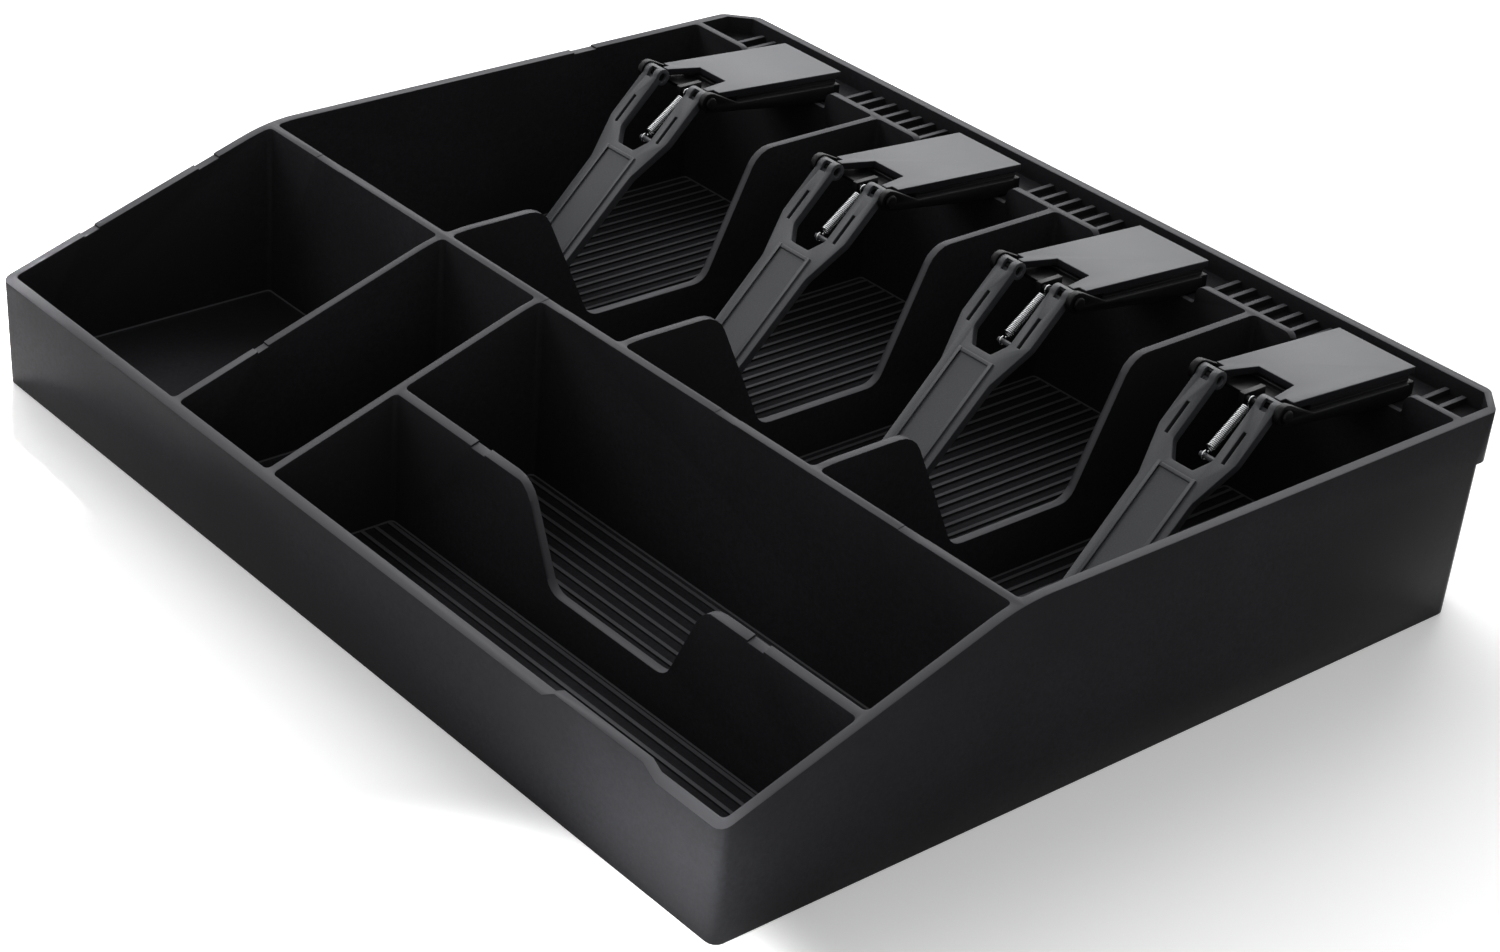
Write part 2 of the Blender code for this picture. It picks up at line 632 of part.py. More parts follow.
def build_arm(number, centre, finish):
    """Build a clip's arm in its own frame, hinge axis along X through its origin, and lay it down."""
    reach = foot_along()
    half = [
        (ARM_HEAD_HALF, 0), (ARM_HEAD_HALF, SHOULDER_FROM),
        (ARM_STRIP_HALF, SHOULDER_TO), (ARM_TIP_HALF, reach),
    ]
    corners = [(side, -along) for side, along in half]
    corners += [(-side, -along) for side, along in reversed(half)]
    outline = rounded(corners, (0, 6 * MM, 6 * MM, 0, 0, 6 * MM, 6 * MM, 0), 3)
    arm = flat_piece(f"clip_{number}_arm", outline, ARM_THICKNESS, PARTS)
    arm.data.transform(Matrix.Translation((0, 0, HOOK_ABOVE)))
    label = f"arm_{number}_"
    head = rods(label + "knuckle", [((-ARM_HEAD_HALF, 0, 0), (ARM_HEAD_HALF, 0, 0))], KNUCKLE_RADIUS, 20)
    foot_half = ARM_TIP_HALF - 0.05 * MM
    ends = [(arm_point(side * foot_half, reach, FOOT_ABOVE)) for side in (-1, 1)]
    foot = rods(label + "foot", [ends], FOOT_RADIUS, 16)
    boolean(arm, "UNION", head, foot)
    far = 8 * MM
    corners = (
        (-FORK_HALF, far), (-FORK_HALF, -FORK_BEND), (-FORK_ROOT_HALF, -FORK_DEPTH),
        (FORK_ROOT_HALF, -FORK_DEPTH), (FORK_HALF, -FORK_BEND), (FORK_HALF, far),
    )
    fork = flat_piece(label + "fork", rounded(corners, (0, 3 * MM, MM, MM, 3 * MM, 0), 2), 20 * MM)
    slots = []
    middle = (FORK_HALF + ARM_HEAD_HALF) / 2
    for side in (-1, 1):
        near = Vector((side * (middle - CLEARANCE) - TINE_SLOT_WIDTH / 2, -20 * MM, -MARGIN))
        slots.append((near, near + Vector((TINE_SLOT_WIDTH, TINE_SLOT_LENGTH, 2 * MARGIN))))
        near = Vector((side * middle - 1.2 * MM, -2.2 * MM, PIN_RADIUS))
        slots.append((near, near + Vector((2.4 * MM, 3.6 * MM, MARGIN))))
    bore = rods(
        label + "bore", [((-ARM_HEAD_HALF - MM, 0, 0), (ARM_HEAD_HALF + MM, 0, 0))], PIN_RADIUS + CLEARANCE)
    boolean(arm, "DIFFERENCE", fork, boxes(label + "slots", slots), bore)
    ribs = []
    outer = ARM_RIB_LATERAL + ARM_RIB_WIDTH / 2
    inner = outer - ARM_RIB_WIDTH
    start = -FORK_DEPTH - 2 * MM
    low, high = ARM_TOP - 0.8 * MM, ARM_TOP + ARM_RIB_HEIGHT
    for left, right in ((-outer, -inner), (inner, outer)):
        ribs.append(((left, 5 * MM - reach, low), (right, start, high)))
    inset = 0.1 * MM
    near = (-outer + inset, start - ARM_RIB_WIDTH, low)
    bar = [(near, (outer - inset, start - inset, high - inset / 2))]
    peg = [arm_point(SPRING_LATERAL - 1.5 * MM, HOOK_ALONG, HOOK_ABOVE)]
    peg.append(arm_point(FORK_HALF + 0.9 * MM, HOOK_ALONG, HOOK_ABOVE))
    boolean(arm, "UNION", boxes(label + "ribs", ribs), boxes(label + "bar", bar))
    boolean(arm, "UNION", rods(label + "peg", [peg], PEG_RADIUS, 8))
    arm.location = (centre, at_depth(HINGE_RUN), HINGE_HEIGHT)
    arm.rotation_euler.x = ARM_ANGLE
    arm.data.materials.append(finish)
    for item in bpy.data.collections[CUTTERS].objects:
        if item.name.startswith(label):
            item.parent = arm
    return arm


def build_lid(number, centre, finish):
    """Build a clip's lid: a sloping plate with a fork at the front and two studs below."""
    half = (
        (LID_NOTCH_INNER, LID_NOTCH_DEPTH), (LID_NOTCH_HALF, 0), (LID_TIP_HALF, 0),
        (LID_TIP_HALF, LID_TIP_STEP), (LID_HALF, LID_TIP_STEP), (LID_HALF, LID_LENGTH),
    )
    corners = list(half) + [(-side, along) for side, along in reversed(half)]
    lid = flat_piece(f"clip_{number}_lid", corners, LID_THICKNESS, PARTS)
    lid.data.transform(Matrix.Translation((0, 0, -LID_THICKNESS / 2)))
    studs = []
    for side in (-1, 1):
        stud = Vector((side * LID_NOTCH_HALF, LID_STUD, -LID_THICKNESS / 2))
        studs.append((stud, stud - Vector((0, 0, LID_THICKNESS / 2 + 1.8 * MM))))
    pegs = rods(f"lid_{number}_studs", studs, STUD_RADIUS, 8)
    boolean(lid, "UNION", pegs)
    front_top = lid_bottom(LID_RUN) + LID_THICKNESS / math.cos(LID_SLOPE)
    lid.location = (centre, at_depth(LID_RUN), front_top)
    lid.rotation_euler.x = -LID_SLOPE
    pegs.parent = lid
    lid.data.materials.append(finish)
    return lid


def build_base(number, centre, finish):
    """Build a clip's bracket: a sloping plate, a foot on the trough floor and two hinge cheeks."""
    front = LID_RUN + 0.8 * MM
    foot_run = LEDGE_RUN - 6 * MM
    rear = LID_RUN + LID_LENGTH - 1.5 * MM
    rest = TROUGH_FLOOR + CLEARANCE

    def under_lid(run):
        return lid_bottom(run) - CLEARANCE

    def shelf(run):
        return under_lid(run) - BASE_STEP

    side_view = [
        (at_depth(front), shelf(front)), (at_depth(front), under_lid(front) - BASE_PLATE),
        (at_depth(foot_run - 6 * MM), under_lid(foot_run) - BASE_PLATE), (at_depth(foot_run), rest),
        (at_depth(rear), rest), (at_depth(rear), shelf(rear)),
    ]
    inner = ARM_HEAD_HALF + CLEARANCE
    outer = inner + CHEEK_THICKNESS
    half = inner + CHEEK_THICKNESS / 2
    base = across(f"clip_{number}_base", side_view, centre - half, centre + half, PARTS)
    label = f"base_{number}_"
    pad_front = LID_RUN + LID_NOTCH_DEPTH - MM
    pad_rear = rear - 0.5 * MM
    pad = [
        (at_depth(pad_front), under_lid(pad_front)), (at_depth(pad_front), shelf(pad_front) - 0.4 * MM),
        (at_depth(pad_rear), shelf(pad_rear) - 0.4 * MM), (at_depth(pad_rear), under_lid(pad_rear)),
    ]
    pad_half = LID_HALF - CLEARANCE
    boolean(base, "UNION", across(label + "pad", pad, centre - pad_half, centre + pad_half))
    axis = Vector((at_depth(HINGE_RUN), HINGE_HEIGHT))
    turns = [math.radians(60 + 30 * step) for step in range(8)]
    arc = [axis + CHEEK_NOSE * Vector((math.cos(turn), math.sin(turn))) for turn in turns]
    back = LEDGE_RUN + 6 * MM
    crest = HINGE_RUN + 12 * MM
    cheek = arc + [
        Vector((at_depth(foot_run), rest + 0.5 * MM)), Vector((at_depth(back), rest + 0.5 * MM)),
        Vector((at_depth(back), shelf(back) + 0.2 * MM)),
        Vector((at_depth(crest), shelf(crest) + 0.2 * MM)),
    ]
    for word, side in (("left", -1), ("right", 1)):
        spans = sorted((centre + side * inner, centre + side * outer))
        boolean(base, "UNION", across(label + word, cheek, *spans))
    face = SPRING_LATERAL - SPRING_MEAN_RADIUS - SPRING_WIRE_RADIUS - CLEARANCE
    lug = boxes(label + "lug", [(
        (centre + face - LUG_WIDTH, at_depth(ANCHOR_RUN - LUG_HALF), ANCHOR_HEIGHT - LUG_HALF),
        (centre + face, at_depth(front + 5 * MM), ANCHOR_HEIGHT + LUG_HALF))])
    anchor = Vector((centre + face - LUG_WIDTH / 2, at_depth(ANCHOR_RUN), ANCHOR_HEIGHT))
    far_side = SPRING_LATERAL + SPRING_MEAN_RADIUS + SPRING_WIRE_RADIUS + CLEARANCE
    tip = Vector((centre + far_side, anchor.y, anchor.z))
    boolean(base, "UNION", lug, rods(label + "peg", [(anchor, tip)], PEG_RADIUS, 8))
    axle = [(Vector((centre + side * (inner - MM), axis.x, axis.y)),
             Vector((centre + side * (outer + MM), axis.x, axis.y))) for side in (-1, 1)]
    boolean(base, "DIFFERENCE", rods(label + "bore", axle, PIN_RADIUS + CLEARANCE))
    x, y = screw_place(centre)
    hole = [((x, y, rest - MM), (x, y, rest + 10 * MM))]
    boolean(base, "DIFFERENCE", rods(label + "hole", hole, SCREW_RADIUS + CLEARANCE, 8))
    well = [((x, y, rest + SCREW_SEAT), (x, y, rest + 12 * MM))]
    boolean(base, "DIFFERENCE", rods(label + "well", well, SCREW_HEAD_RADIUS + CLEARANCE))
    studs = []
    for side in (-1, 1):
        run = LID_RUN + LID_STUD
        low = Vector((centre + side * LID_NOTCH_HALF, at_depth(run), lid_bottom(run) - MARGIN))
        studs.append((low, low + Vector((0, 0, 2 * MARGIN))))
    boolean(base, "DIFFERENCE", rods(label + "stud_holes", studs, STUD_RADIUS + 2 * CLEARANCE, 8))
    base.data.materials.append(finish)
    return base


def turned(name, profile, sides, finish):
    """Turn a profile of (radius, height) points, from the top axis point to the bottom one."""
    mesh = bpy.data.meshes.new(name)
    points = [(radius, 0, height) for radius, height in profile]
    edges = [(index, index + 1) for index in range(len(points) - 1)]
    mesh.from_pydata(points, edges, [])
    item = add_object(name, mesh, PARTS)
    step = item.modifiers.new("turn", "SCREW")
    step.steps = sides
    step.render_steps = sides
    step.use_merge_vertices = True
    step.merge_threshold = 0.00001
    item.data.materials.append(finish)
    return item


def build_pins(number, centre, finish):
    """Build a clip's two hinge pins, each with a low head outside its cheek."""
    cheek = ARM_HEAD_HALF + CLEARANCE + CHEEK_THICKNESS
    head = cheek + CLEARANCE
    inner = FORK_HALF + PIN_HEAD
    top = head + PIN_HEAD
    for word, side in (("left", -1), ("right", 1)):
        profile = (
            (0, top), (PIN_HEAD_RADIUS - CLEARANCE, top), (PIN_HEAD_RADIUS, top - CLEARANCE),
            (PIN_HEAD_RADIUS, head), (PIN_RADIUS, head), (PIN_RADIUS, inner), (0, inner),
        )
        pin = turned(f"clip_{number}_pin_{word}", profile, SIDES, finish)
        pin.location = (centre, at_depth(HINGE_RUN), HINGE_HEIGHT)
        pin.rotation_euler.y = side * math.pi / 2


def build_screw(number, centre, finish):
    """Build the screw that holds a clip's bracket down."""
    seat = TROUGH_FLOOR + CLEARANCE + SCREW_SEAT + CLEARANCE
    profile = (
        (0, 1.5 * MM), (SCREW_HEAD_RADIUS - 0.6 * MM, 1.5 * MM), (SCREW_HEAD_RADIUS, MM),
        (SCREW_HEAD_RADIUS, 0), (SCREW_RADIUS, 0), (SCREW_RADIUS, -9 * MM), (0, -10 * MM),
    )
    screw = turned(f"clip_{number}_screw", profile, SIDES, finish)
    x, y = screw_place(centre)
    screw.location = (x, y, seat)


def spring_ends():
    """Return both hook centres of a spring as (Y, Z) points: on the bracket and on the arm."""
    upper = Vector((at_depth(ANCHOR_RUN), ANCHOR_HEIGHT))
    down = Vector((-math.cos(ARM_ANGLE), -math.sin(ARM_ANGLE)))
    over = Vector((-math.sin(ARM_ANGLE), math.cos(ARM_ANGLE)))
    hinge = Vector((at_depth(HINGE_RUN), HINGE_HEIGHT))
    return upper, hinge + down * HOOK_ALONG + over * HOOK_ABOVE


def spring_path(length):
    """Return the points of a spring along X: a hook, the curls and a hook, from 0 to the length."""
    hook = PEG_RADIUS + CLEARANCE + SPRING_WIRE_RADIUS + 0.05 * MM
    opening = math.radians(40)
    lead = 3.0 * MM
    body = length - 2 * lead
    pitch = body / SPRING_CURLS
    loop = []
    for step in range(11):
        turn = 2 * math.pi - math.radians(50) - (2 * math.pi - math.radians(90)) * step / 10
        loop.append(Vector((hook * math.cos(turn), 0, hook * math.sin(turn))))
    coil = []
    count = SPRING_CURLS * SPRING_POINTS_PER_CURL
    for step in range(count + 1):
        turn = math.pi + 2 * math.pi * SPRING_CURLS * step / count
        coil.append(Vector((
            lead + body * step / count,
            SPRING_MEAN_RADIUS * math.sin(turn), SPRING_MEAN_RADIUS * math.cos(turn))))
    leave = Vector((math.sin(opening), 0, -math.cos(opening)))
    enter = (coil[1] - coil[0]).normalized()
    bend = []
    for step in range(1, 5):
        part = step / 5
        start, end = loop[-1], coil[0]
        first, second = start + leave * 0.9 * MM, end - enter * 0.9 * MM
        near = start * (1 - part) ** 3 + first * 3 * part * (1 - part) ** 2
        bend.append(near + second * 3 * part ** 2 * (1 - part) + end * part ** 3)
    lower = loop + bend
    spin = Matrix.Rotation(math.pi, 3, "Z")
    upper = [spin @ point + Vector((length, 0, 0)) for point in reversed(lower)]
    return lower + coil + upper, pitch


def least_gap(points):
    """Return the least clear gap between stretches of the wire that aren't neighbours."""
    skip = SPRING_POINTS_PER_CURL // 2
    best = 1.0
    for index, here in enumerate(points):
        for there in points[index + skip:]:
            best = min(best, (there - here).length)
    return best - 2 * SPRING_WIRE_RADIUS


def build_spring(number, centre, finish):
    """Build a clip's tension spring, one unbroken wire, between its two pegs."""
    upper, lower = spring_ends()
    path, pitch = spring_path((lower - upper).length)
    if number == 1:
        print(f"spring: pitch {pitch / MM:.2f} mm, least gap {least_gap(path) / MM:.2f} mm")
    curve = bpy.data.curves.new(f"clip_{number}_spring", "CURVE")
    curve.dimensions = "3D"
    curve.bevel_depth = SPRING_WIRE_RADIUS
    curve.bevel_resolution = 1
    curve.use_fill_caps = True
    spline = curve.splines.new("POLY")
    spline.points.add(len(path) - 1)
    for point, spot in zip(spline.points, path):
        point.co = (*spot, 1)
    spring = curve_to_mesh(f"clip_{number}_spring", curve, PARTS)
    along = (lower - upper).normalized()
    x_axis = Vector((0, along.x, along.y))
    y_axis = Vector((1, 0, 0))
    hinge = Vector((centre, at_depth(HINGE_RUN), HINGE_HEIGHT))
    place(spring, Vector((SPRING_LATERAL, upper.x, upper.y)) - Vector((0, hinge.y, hinge.z)), x_axis, y_axis)
    spring.location = hinge
    smooth(spring, 60)
    spring.data.materials.append(finish)


def main():
    """Build the tray and its four clips."""
    clear_scene()
    black = material("glossy_black_plastic", (0.012, 0.012, 0.013), 0.28)
    matt_black = material("black_bracket_plastic", (0.016, 0.016, 0.018), 0.45)
    grey = material("grey_clip_plastic", (0.095, 0.095, 0.105), 0.5)
    pale = material("grey_lid_plastic", (0.25, 0.25, 0.26), 0.5)
    steel = material("zinc_plated_steel", (0.62, 0.62, 0.60), 0.3, 1.0)
    build_tray(black)
    for index, centre in enumerate(clip_centres()):
        number = index + 1
        build_base(number, centre, matt_black)
        build_lid(number, centre, pale)
        build_arm(number, centre, grey)
        build_pins(number, centre, matt_black)
        build_spring(number, centre, steel)
        build_screw(number, centre, steel)


main()
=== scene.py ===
"""Looks of a cash register tray with four sprung bill clips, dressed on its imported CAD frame.

Metres, +Z up, in the frame's own axes: the front wall faces -Y and the tray stands on z = 0.
"""

import json
import logging
import math
from dataclasses import dataclass
from enum import Enum

import bmesh
import bpy
from mathutils import Matrix, Vector

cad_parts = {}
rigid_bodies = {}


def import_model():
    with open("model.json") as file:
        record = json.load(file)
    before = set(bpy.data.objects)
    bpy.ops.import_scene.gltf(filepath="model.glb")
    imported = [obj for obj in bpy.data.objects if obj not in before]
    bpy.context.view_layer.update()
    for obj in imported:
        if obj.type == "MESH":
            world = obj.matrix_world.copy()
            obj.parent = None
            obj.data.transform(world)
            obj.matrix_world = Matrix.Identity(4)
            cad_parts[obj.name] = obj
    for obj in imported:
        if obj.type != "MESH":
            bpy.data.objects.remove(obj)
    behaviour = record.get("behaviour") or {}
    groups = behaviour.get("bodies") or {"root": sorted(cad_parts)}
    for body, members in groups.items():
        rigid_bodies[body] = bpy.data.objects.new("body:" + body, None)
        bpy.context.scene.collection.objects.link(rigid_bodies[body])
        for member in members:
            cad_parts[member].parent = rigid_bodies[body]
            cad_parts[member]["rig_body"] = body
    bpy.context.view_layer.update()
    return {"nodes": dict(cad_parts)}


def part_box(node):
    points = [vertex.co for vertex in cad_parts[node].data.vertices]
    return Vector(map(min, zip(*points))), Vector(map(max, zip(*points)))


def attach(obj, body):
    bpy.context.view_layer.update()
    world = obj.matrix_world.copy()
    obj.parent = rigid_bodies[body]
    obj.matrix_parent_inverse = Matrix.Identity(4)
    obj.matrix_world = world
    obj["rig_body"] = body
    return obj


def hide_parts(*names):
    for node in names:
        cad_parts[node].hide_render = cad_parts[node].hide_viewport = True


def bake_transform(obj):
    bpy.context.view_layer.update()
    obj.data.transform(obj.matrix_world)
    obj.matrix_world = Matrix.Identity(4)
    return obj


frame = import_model()

LOG = logging.getLogger("cash_register_tray")
MM = 0.001
CLIP_COUNT = 4
# The photograph's size in pixels, which the camera's shift is measured against.
PHOTO_WIDTH = 1500
PHOTO_HEIGHT = 952


class Slot(Enum):
    """The record's material slots."""

    TRAY = "glossy_black_plastic"
    BRACKET = "black_bracket_plastic"
    CLIP = "grey_clip_plastic"
    LID = "grey_lid_plastic"
    STEEL = "zinc_plated_steel"


def linear(hex_code: str) -> tuple[float, float, float, float]:
    """Turn an sRGB hex colour into linear light.

    Args:
        hex_code: Six hex digits, with or without a leading #.

    Returns:
        Red, green, blue and an alpha of 1.
    """
    digits = hex_code.lstrip("#")
    channels = (int(digits[start:start + 2], 16) / 255 for start in (0, 2, 4))
    values = [c / 12.92 if c <= 0.04045 else ((c + 0.055) / 1.055) ** 2.4 for c in channels]
    return (*values, 1.0)


def per_metre(size_mm: float) -> float:
    """Return the texture scale at which one feature is size_mm wide."""
    return 1 / (size_mm * MM)


def add_node(
    tree: bpy.types.NodeTree,
    kind: str,
    settings: dict[str | int, object],
    links: dict[str | int, bpy.types.NodeSocket] | None = None,
) -> bpy.types.Node:
    """Add a shader node with its settings and its incoming links.

    Args:
        tree: The material's or the world's node tree.
        kind: The node's type, such as ShaderNodeTexNoise.
        settings: Attributes by lower-case name, and input values by their label or number.
        links: The sockets that feed this node's inputs, by the input's label or number.

    Returns:
        The new node.
    """
    node = tree.nodes.new(kind)
    for key, value in settings.items():
        if isinstance(key, str) and key[0].islower():
            setattr(node, key, value)
        else:
            node.inputs[key].default_value = value
    for key, socket in (links or {}).items():
        tree.links.new(socket, node.inputs[key])
    return node


def blank_material(name: str) -> tuple[bpy.types.Material, bpy.types.NodeTree]:
    """Make a material whose node tree is empty.

    Args:
        name: The finish's name.

    Returns:
        The material and its node tree.
    """
    made = bpy.data.materials.new(name)
    made.use_nodes = True
    made.node_tree.nodes.clear()
    return made, made.node_tree


def seen_or_mirrored(tree: bpy.types.NodeTree) -> bpy.types.NodeSocket:
    """Tell the rays that show a surface to the viewer from those that light the tray.

    Args:
        tree: The node tree of the paper or the world.

    Returns:
        1 for rays from the camera, or mirrored or passed on by a piece, and 0 for the others.
    """
    path = add_node(tree, "ShaderNodeLightPath", {})
    seen = add_node(
        tree, "ShaderNodeMath", {"operation": "MAXIMUM"},
        {0: path.outputs["Is Camera Ray"], 1: path.outputs["Is Glossy Ray"]},
    )
    either = add_node(
        tree, "ShaderNodeMath", {"operation": "MAXIMUM"},
        {0: seen.outputs["Value"], 1: path.outputs["Is Transmission Ray"]},
    )
    return either.outputs["Value"]


def add_object(name: str, data: bpy.types.ID) -> bpy.types.Object:
    """Make an object and put it in the scene.

    Args:
        name: Its name.
        data: Its mesh, curve, lamp or lens.

    Returns:
        The new object.
    """
    item = bpy.data.objects.new(name, data)
    bpy.context.scene.collection.objects.link(item)
    return item


@dataclass(frozen=True, kw_only=True)
class MouldedPlastic:
    """What the moulded plastics share: a gloss, softened edges and a shallow relief."""

    name: str
    roughness: float
    specular: float
    ior: float
    relief_mm: float
    round_mm: float
    round_samples: int = 4
    upward_limits: tuple[float, float]

    def upward(
        self, tree: bpy.types.NodeTree, place: bpy.types.Node,
    ) -> bpy.types.NodeSocket:
        """Find the faces that look up, by the Z of the piece's own normal.

        Args:
            tree: The material's node tree.
            place: Its texture coordinates.

        Returns:
            0 below the lower of upward_limits, and 1 above the upper one.
        """
        facing = add_node(
            tree, "ShaderNodeSeparateXYZ", {}, {"Vector": place.outputs["Normal"]},
        )
        lowest, highest = self.upward_limits
        share = add_node(
            tree, "ShaderNodeMapRange", {"From Min": lowest, "From Max": highest},
            {"Value": facing.outputs["Z"]},
        )
        return share.outputs["Result"]

    def add_surface(
        self, tree: bpy.types.NodeTree, colour: bpy.types.NodeSocket,
        roughness: bpy.types.NodeSocket, relief: bpy.types.NodeSocket,
    ) -> None:
        """Add the shader that the patterns feed, and the output.

        Args:
            tree: The material's node tree.
            colour: The base colour.
            roughness: The roughness.
            relief: The height of the relief, from 0 to 1.
        """
        # A mould's edges are never quite sharp: light turns softly over rims, ribs and slots.
        rounded = add_node(
            tree, "ShaderNodeBevel",
            {"samples": self.round_samples, "Radius": self.round_mm * MM},
        )
        bump = add_node(
            tree, "ShaderNodeBump", {"Strength": 1.0, "Distance": self.relief_mm * MM},
            {"Height": relief, "Normal": rounded.outputs["Normal"]},
        )
        shader = add_node(
            tree, "ShaderNodeBsdfPrincipled",
            {"IOR": self.ior, "Specular IOR Level": self.specular},
            {"Base Color": colour, "Roughness": roughness, "Normal": bump.outputs["Normal"]},
        )
        add_node(tree, "ShaderNodeOutputMaterial", {}, {"Surface": shader.outputs["BSDF"]})


@dataclass(frozen=True, kw_only=True)
class PolishedStyrene(MouldedPlastic):
    """Black high-impact polystyrene, moulded in a polished tool.

    It is deep black, with soft and slightly wavy reflections. Its up-facing rims, their slopes
    and the tops of its ribs are painted a lighter grey: a painted highlight.
    """

    name: str = "black_styrene_polished_mould"
    black: str = "#272729"
    worn: str = "#2e2e31"
    flow_mm: float = 55.0
    scuff_mm: float = 1.3
    wear_limits: tuple[float, float] = (0.18, 0.42)
    # Painted highlight: the lighter grey of up-facing rims, their slopes and rib tops.
    painted_rim_highlight: str = "#545457"
    upward_limits: tuple[float, float] = (0.36, 0.46)
    highlight_above_mm: float = 7.25
    trough_from_mm: float = 118.0
    trough_edge_mm: float = 1.0
    highlight_above_trough_mm: float = 58.2
    roughness: float = 0.2
    roughness_worn: float = 0.25
    specular: float = 0.022
    # Polystyrene's own index is 1.59. The tray's walls mirror less than that at a slant.
    ior: float = 1.32
    ripple_mm: float = 16.0
    relief_mm: float = 0.02
    round_mm: float = 0.45

    def wear(
        self, tree: bpy.types.NodeTree, place: bpy.types.Node,
    ) -> bpy.types.NodeSocket:
        """Scatter the marks of moulding and handling.

        Args:
            tree: The material's node tree.
            place: Its texture coordinates.

        Returns:
            0 where the polish is fresh, and 1 where it is worn.
        """
        # Flow of the melt: broad, faint changes of tone across the big walls.
        flow = add_node(
            tree, "ShaderNodeTexNoise",
            {"Scale": per_metre(self.flow_mm), "Detail": 2.0, "Roughness": 0.5},
            {"Vector": place.outputs["Object"]},
        )
        # Handling: scuffs that dull the polish in patches. The real ones are hairlines of about
        # 0.1 mm, drawn coarser so that they show.
        scuff = add_node(
            tree, "ShaderNodeTexNoise",
            {
                "Scale": per_metre(self.scuff_mm), "Detail": 5.0, "Roughness": 0.65,
                "Distortion": 0.4,
            },
            {"Vector": place.outputs["Object"]},
        )
        patches = add_node(
            tree, "ShaderNodeMath", {"operation": "MULTIPLY"},
            {0: flow.outputs["Fac"], 1: scuff.outputs["Fac"]},
        )
        fresh, worn = self.wear_limits
        wear = add_node(
            tree, "ShaderNodeMapRange", {"From Min": fresh, "From Max": worn},
            {"Value": patches.outputs["Value"]},
        )
        return wear.outputs["Result"]

    def rim_highlight_mask(
        self, tree: bpy.types.NodeTree, place: bpy.types.Node,
    ) -> bpy.types.NodeSocket:
        """Find where the highlight is painted: rims, their slopes and the tops of the ribs.

        Args:
            tree: The material's node tree.
            place: Its texture coordinates.

        Returns:
            1 where the highlight is painted, and 0 elsewhere.
        """
        upward = self.upward(tree, place)
        spot = add_node(tree, "ShaderNodeSeparateXYZ", {}, {"Vector": place.outputs["Object"]})
        # In the trough behind the clips, only teeth tops and rims get the painted highlight.
        lowest = add_node(
            tree, "ShaderNodeMapRange",
            {
                "From Min": self.trough_from_mm * MM,
                "From Max": (self.trough_from_mm + self.trough_edge_mm) * MM,
                "To Min": self.highlight_above_mm * MM,
                "To Max": self.highlight_above_trough_mm * MM,
            },
            {"Value": spot.outputs["Y"]},
        )
        raised = add_node(
            tree, "ShaderNodeMath", {"operation": "GREATER_THAN"},
            {0: spot.outputs["Z"], 1: lowest.outputs["Result"]},
        )
        rim_highlight_mask = add_node(
            tree, "ShaderNodeMath", {"operation": "MULTIPLY"},
            {0: upward, 1: raised.outputs["Value"]},
        )
        return rim_highlight_mask.outputs["Value"]

    def make(self) -> bpy.types.Material:
        """Build the material.

        Returns:
            The finished material.
        """
        made, tree = blank_material(self.name)
        place = add_node(tree, "ShaderNodeTexCoord", {})
        wear = self.wear(tree, place)
        colour = add_node(
            tree, "ShaderNodeMix",
            {"data_type": "RGBA", 6: linear(self.black), 7: linear(self.worn)},
            {0: wear},
        )
        # Painted highlight: up-facing rims and rib tops are mixed towards a lighter grey.
        rim_highlighted = add_node(
            tree, "ShaderNodeMix", {"data_type": "RGBA", 7: linear(self.painted_rim_highlight)},
            {0: self.rim_highlight_mask(tree, place), 6: colour.outputs[2]},
        )
        polish = add_node(
            tree, "ShaderNodeMapRange",
            {"To Min": self.roughness, "To Max": self.roughness_worn}, {"Value": wear},
        )
        # Sink over ribs and walls: a ripple of some hundredths of a millimetre bends reflections.
        ripple = add_node(
            tree, "ShaderNodeTexNoise",
            {"Scale": per_metre(self.ripple_mm), "Detail": 1.0, "Roughness": 0.4},
            {"Vector": place.outputs["Object"]},
        )
        self.add_surface(
            tree, rim_highlighted.outputs[2], polish.outputs["Result"], ripple.outputs["Fac"],
        )
        return made


